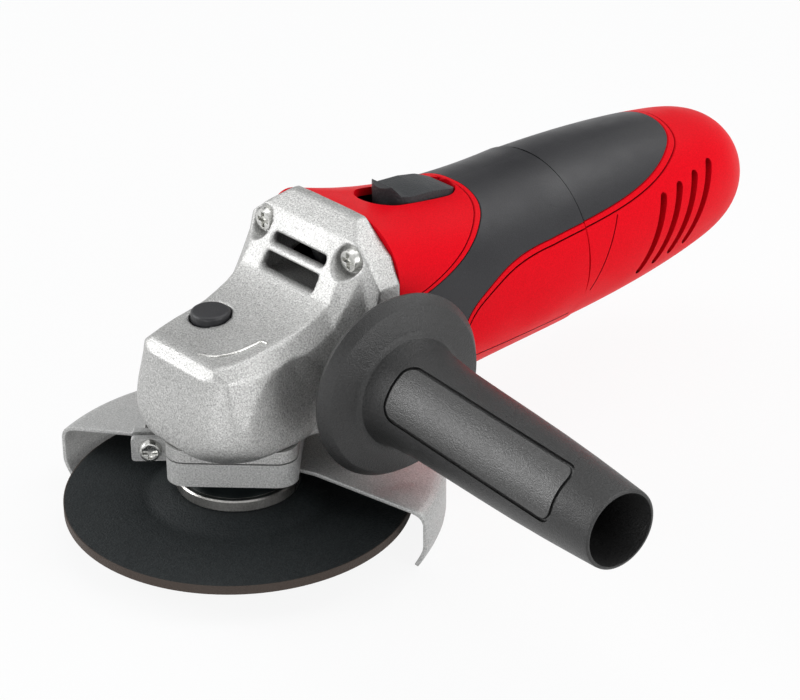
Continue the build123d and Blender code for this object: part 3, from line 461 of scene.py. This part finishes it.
# %% [markdown]
# ## Cast gear head
# A die casting has no sharp edge: every corner is drawn round so that the metal flows. Rounding each
# edge by hand would take long and fail where many meet. We copy the solid, turn it into an even
# skin of small faces, and let a smoothing pass melt all edges at once, as the mould does. Before that
# a bisecting plane cuts the flat bevel over the nose, which is a plain face on the real casting. A short
# cylinder keeps the lock pin's way clear, and a block mills the second handle boss flush.

# %% Copy and melt the casting
def only(piece):
    """Selects one piece and nothing else."""
    bpy.ops.object.select_all(action="DESELECT")
    piece.select_set(True)
    bpy.context.view_layer.objects.active = piece


def copy_of(node, name):
    """A free copy of a solid piece, its loose triangles merged into one skin."""
    only(frame["nodes"][node])
    bpy.ops.object.duplicate()
    piece = bpy.context.object
    piece.name = name
    del piece["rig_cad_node"]
    bpy.ops.object.mode_set(mode="EDIT")
    bpy.ops.mesh.select_all(action="SELECT")
    bpy.ops.mesh.remove_doubles(threshold=0.002 * mm)
    bpy.ops.object.mode_set(mode="OBJECT")
    return piece


def remove(piece):
    """Deletes a helper piece that has done its work."""
    only(piece)
    bpy.ops.object.delete()


def apply_all(piece):
    """Applies the piece's modifiers in their order."""
    only(piece)
    for modifier in list(piece.modifiers):
        bpy.ops.object.modifier_apply(modifier=modifier.name)


def cut_away(piece, tool):
    """Adds a modifier that takes the tool's shape out of the piece."""
    cut = piece.modifiers.new("cut", "BOOLEAN")
    cut.operation = "DIFFERENCE"
    cut.object = tool


bevel_point = (0, -24.4 * mm, 57.5 * mm)
bevel_normal = (0, -1, 1)
guide_radius = 2.7 * mm
guide_length = 14 * mm
guide_height = 50 * mm
boss_face = -33.6 * mm
boss_along = 29 * mm
boss_height = 50 * mm
mill_size = 40 * mm

gear_head = copy_of("gear_housing", "gear_head")
bpy.ops.object.mode_set(mode="EDIT")
bpy.ops.mesh.select_all(action="SELECT")
bpy.ops.mesh.bisect(plane_co=bevel_point, plane_no=bevel_normal, use_fill=True, clear_outer=True)
bpy.ops.object.mode_set(mode="OBJECT")
pin_low, pin_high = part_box("lock_pin")
pin_middle = (pin_low + pin_high) / 2
guide_place = (pin_middle.x, pin_middle.y, guide_height)
bpy.ops.object.select_all(action="DESELECT")
bpy.ops.mesh.primitive_cylinder_add(radius=guide_radius, depth=guide_length, location=guide_place)
guide = bpy.context.object
mill_place = (boss_face - mill_size / 2, boss_along, boss_height)
bpy.ops.object.select_all(action="DESELECT")
bpy.ops.mesh.primitive_cube_add(size=mill_size, location=mill_place)
mill = bpy.context.object
cut_away(gear_head, guide)
cut_away(gear_head, mill)
skin = gear_head.modifiers.new("skin", "REMESH")
skin.mode = "VOXEL"
skin.voxel_size = 0.62 * mm
melt = gear_head.modifiers.new("melt", "SMOOTH")
melt.factor = 0.5
melt.iterations = 5
apply_all(gear_head)
bpy.ops.object.shade_smooth()
remove(guide)
remove(mill)
only(gear_head)
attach(gear_head, "housing")
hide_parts("gear_housing")
print("gear head faces", len(gear_head.data.polygons))

# %% [markdown]
# ## Turning arrow
# A thin raised arrow on the nose tells which way the disc turns. It follows the casting's crowned top,
# so each of its points is dropped onto the skin with a ray. The line becomes a curve for a moment,
# because a curve can be given a round section, and then a mesh again.

# %% Raised arrow
def line_piece(name, points):
    """A chain of edges drawn from a single point."""
    bpy.ops.object.select_all(action="DESELECT")
    bpy.ops.mesh.primitive_plane_add(size=mm)
    piece = bpy.context.object
    piece.name = name
    bpy.ops.object.mode_set(mode="EDIT")
    bpy.ops.mesh.select_all(action="SELECT")
    bpy.ops.mesh.merge(type="CENTER")
    bpy.ops.transform.translate(value=points[0])
    for start, end in zip(points, points[1:]):
        bpy.ops.mesh.extrude_vertices_move(TRANSFORM_OT_translate={"value": end - start})
    bpy.ops.mesh.select_all(action="SELECT")
    return piece


drop_height = 80 * mm
line_radius = 0.5 * mm
line_lift = 0.1 * mm
path = [(4.6, -17.6), (7.8, -16.2), (10.4, -14.2), (12.2, -11)]
path += [(13.2, -7.6), (13.8, -3.6), (14.2, 0.2), (16.8, 0.6)]
steps = []
for start, end in zip(path, path[1:]):
    steps += [Vector(start).lerp(Vector(end), share) for share in (0, 0.25, 0.5, 0.75)]
steps.append(Vector(path[-1]))
drops = []
for step in steps:
    start = Vector((step.x * mm, step.y * mm, drop_height))
    place, normal = gear_head.ray_cast(start, Vector((0, 0, -1)))[1:3]
    drops.append(place + normal * line_lift)
arrow = line_piece("turning_arrow", drops)
bpy.ops.object.mode_set(mode="OBJECT")
bpy.ops.object.convert(target="CURVE")
arrow.data.bevel_depth = line_radius
arrow.data.bevel_resolution = 2
arrow.data.use_fill_caps = True
bpy.ops.object.convert(target="MESH")
bpy.ops.object.shade_smooth()
arrow.data.materials.append(zinc)
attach(arrow, "housing")
print("arrow at height", round(drops[0].z, 4))

# %% [markdown]
# ## Side handle
# The handle is one moulding: a hand guard with a bevelled rim, a collar, and a tapering grip that is
# hollow from its end. A lathe would cut it from a bar, and so do we: the outline is drawn as a chain
# of points, distance and radius, and spun about the handle's axis.

# %% Spin the handle
def spun(name, points, axis, angle, steps):
    """Spins a chain of points about an axis through the origin into one skin."""
    piece = line_piece(name, points)
    bpy.ops.mesh.spin(steps=steps, angle=angle, center=(0, 0, 0), axis=axis)
    bpy.ops.mesh.select_all(action="SELECT")
    bpy.ops.mesh.remove_doubles(threshold=0.01 * mm)
    bpy.ops.mesh.normals_make_consistent(inside=False)
    bpy.ops.object.mode_set(mode="OBJECT")
    return piece


def lathe_points(pairs):
    """Distances and radii in millimetres as points beside the X axis."""
    return [Vector((distance * mm, 0, radius * mm)) for distance, radius in pairs]


handle_axis = (1, 0, 0)
turned_steps = 96
hub_line = [(22.5, 0), (22.5, 4), (-7.4, 4), (-7.4, 13), (-2.4, 21), (-1.6, 30.6), (-0.9, 31), (0, 31.2)]
hub_line += [(3.4, 28.75), (3.65, 28.3), (5.1, 20.6), (5.5, 19.5), (6.3, 18.6)]
grip_line = [(9, 17.7), (13, 17.2), (25, 16.2), (40, 15.8), (55, 15.45), (70, 15), (85, 14.3)]
grip_line += [(96, 13.6), (106.4, 12.9)]
end_line = [(107.2, 12.75), (107.6, 12.2), (107.6, 11.7), (107.2, 11.6), (37.6, 11.6), (37.6, 0)]
handle_line = lathe_points(hub_line + grip_line + end_line)
handle = spun("handle_moulding", handle_line, handle_axis, 2 * pi, turned_steps)
print("handle faces", len(handle.data.polygons))

# %% [markdown]
# ## Grip panel
# A grained panel lies on the grip inside a fine groove. To cut a groove of even depth round a curved
# surface we take a ring with the panel's outline, stand it up as a wall through the grip, and hollow
# that wall with a core a little thinner than the grip. What is left is the groove itself.

# %% Panel groove
groove_depth = 0.8
groove_width = 1.1
panel_start, panel_end, panel_half = 14.5, 92.5, 9.6
panel_turn = radians(53)
panel_corner = 4.5
wall_height = 30
core_line = [(5, 0)] + [(distance, radius - groove_depth) for distance, radius in grip_line] + [(106.4, 0)]
core = spun("core", lathe_points(core_line), handle_axis, 2 * pi, turned_steps)
bpy.ops.object.select_all(action="DESELECT")
bpy.ops.mesh.primitive_plane_add(size=1, location=((panel_start + panel_end) / 2 * mm, 0, 0))
wall = bpy.context.object
wall.scale = ((panel_end - panel_start) * mm, 2 * panel_half * mm, 1)
bpy.ops.object.transform_apply()
bpy.ops.object.mode_set(mode="EDIT")
bpy.ops.mesh.select_all(action="SELECT")
bpy.ops.mesh.bevel(affect="VERTICES", offset=panel_corner * mm, segments=6)
bpy.ops.mesh.inset(thickness=groove_width * mm)
bpy.ops.mesh.delete(type="FACE")
bpy.ops.mesh.select_all(action="SELECT")
bpy.ops.mesh.extrude_region_move(TRANSFORM_OT_translate={"value": (0, 0, wall_height * mm)})
bpy.ops.mesh.select_all(action="SELECT")
bpy.ops.mesh.normals_make_consistent(inside=False)
bpy.ops.object.mode_set(mode="OBJECT")
wall.rotation_euler = (panel_turn, 0, 0)
bpy.ops.object.transform_apply()
for piece, tool in ((wall, core), (handle, wall)):
    cut_away(piece, tool)
    apply_all(piece)
    remove(tool)
print("handle faces", len(handle.data.polygons))

# %% Panel grain and place
panel_floor = 8 * mm
handle_lean = radians(-6)
handle_seat = (45.9 * mm, 29.4 * mm, 50 * mm)
facing = Vector((0, -sin(panel_turn), cos(panel_turn)))
sideways = Vector((0, cos(panel_turn), sin(panel_turn)))
handle.data.materials.append(handle_black)
handle.data.materials.append(panel_grain)
for face in handle.data.polygons:
    along = (panel_start + groove_width) * mm < face.center.x < (panel_end - groove_width) * mm
    inside = along and abs(face.center.dot(sideways)) < (panel_half - groove_width) * mm
    if inside and face.center.dot(facing) > panel_floor and face.normal.dot(facing) > 0.5:
        face.material_index = 1
only(handle)
bpy.ops.object.shade_smooth_by_angle(angle=radians(28))
handle.rotation_euler = (0, 0, handle_lean)
handle.location = handle_seat
bpy.ops.object.transform_apply()
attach(handle, "housing")
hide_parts("side_handle")
print("panel faces", sum(face.material_index for face in handle.data.polygons))

# %% [markdown]
# ## Pressed guard
# The guard is one pressed sheet. A sheet is best modelled as a single surface, here half a turn of its
# outline, and thickened afterwards, so that both of its sides stay parallel. A fine bevel on the cut
# edges catches the light as a deburred edge does.

# %% Guard sheet
sheet_start = radians(22)
sheet_thickness = 1.4 * mm
sheet_line = [(21, 16.9), (28, 16.9), (29.5, 16.7), (46, 14.2), (63, 11.65), (64.6, 11.2), (66, 10.6)]
sheet_line += [(67.1, 9.6), (67.8, 8.4), (68.2, 6.9), (68.2, -1.4)]
sheet_line += [(67.9, -3.2), (66.9, -5.6), (65.6, -8.1), (65, -9.2)]
turn_out = Vector((cos(sheet_start), sin(sheet_start), 0))
sheet_points = [turn_out * (radius * mm) + Vector((0, 0, height * mm)) for radius, height in sheet_line]
guard = spun("guard_sheet", sheet_points, (0, 0, -1), pi, turned_steps)
thick = guard.modifiers.new("thick", "SOLIDIFY")
thick.thickness = sheet_thickness
thick.offset = -1
thick.use_even_offset = True
rounding = guard.modifiers.new("rounding", "BEVEL")
rounding.width = 0.3 * mm
rounding.segments = 2
rounding.limit_method = "ANGLE"
rounding.angle_limit = radians(50)
apply_all(guard)
bpy.ops.object.shade_smooth_by_angle(angle=radians(40))
guard.data.materials.append(guard_coat)
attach(guard, "guard")
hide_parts("guard_shell")
print("guard faces", len(guard.data.polygons))

# %% [markdown]
# ## Thumb switch and screws
# Small mouldings and screw heads never keep a knife edge. A bevel modifier limited by angle rounds only
# the true corners of a copy and leaves the fine facets of its curved ends alone.

# %% Rounded copies
def rounded_copy(node, body, width):
    """A copy of a solid piece with its sharp edges rounded, in place of it."""
    piece = copy_of(node, node + "_rounded")
    bpy.ops.object.mode_set(mode="EDIT")
    bpy.ops.mesh.select_all(action="SELECT")
    bpy.ops.mesh.dissolve_limited(angle_limit=radians(2))
    bpy.ops.object.mode_set(mode="OBJECT")
    bevel = piece.modifiers.new("bevel", "BEVEL")
    bevel.width = width * mm
    bevel.segments = 3
    bevel.limit_method = "ANGLE"
    bevel.angle_limit = radians(35)
    apply_all(piece)
    bpy.ops.object.shade_smooth_by_angle(angle=radians(40))
    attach(piece, body)
    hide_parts(node)
    return piece


switch_cap = rounded_copy("switch_slider", "switch", 0.45)
corner_screws = rounded_copy("gear_housing_screws", "housing", 0.35)
ear_screw = rounded_copy("guard_screw", "guard", 0.35)
print("rounded", switch_cap.name, corner_screws.name, ear_screw.name)

# %% [markdown]
# ## Lip of the switch
# The thumb pushes against a lip at the front of the switch. Its points are picked by their place and
# stretched upward from the cap's face, so that the slope behind the lip stays flat.

# %% Raise the lip
lip_foot = 90.4 * mm
lip_end = 66.9 * mm
lip_stretch = 1.9
only(switch_cap)
bpy.ops.object.mode_set(mode="EDIT")
bpy.ops.mesh.select_mode(type="VERT")
bpy.ops.mesh.select_all(action="DESELECT")
bpy.ops.object.mode_set(mode="OBJECT")
for point in switch_cap.data.vertices:
    point.select = point.co.y < lip_end and point.co.z > lip_foot
bpy.ops.object.mode_set(mode="EDIT")
bpy.ops.transform.resize(value=(1, 1, lip_stretch), center_override=(0, 0, lip_foot))
bpy.ops.object.mode_set(mode="OBJECT")
print("lip top", round(max(point.co.z for point in switch_cap.data.vertices), 4))
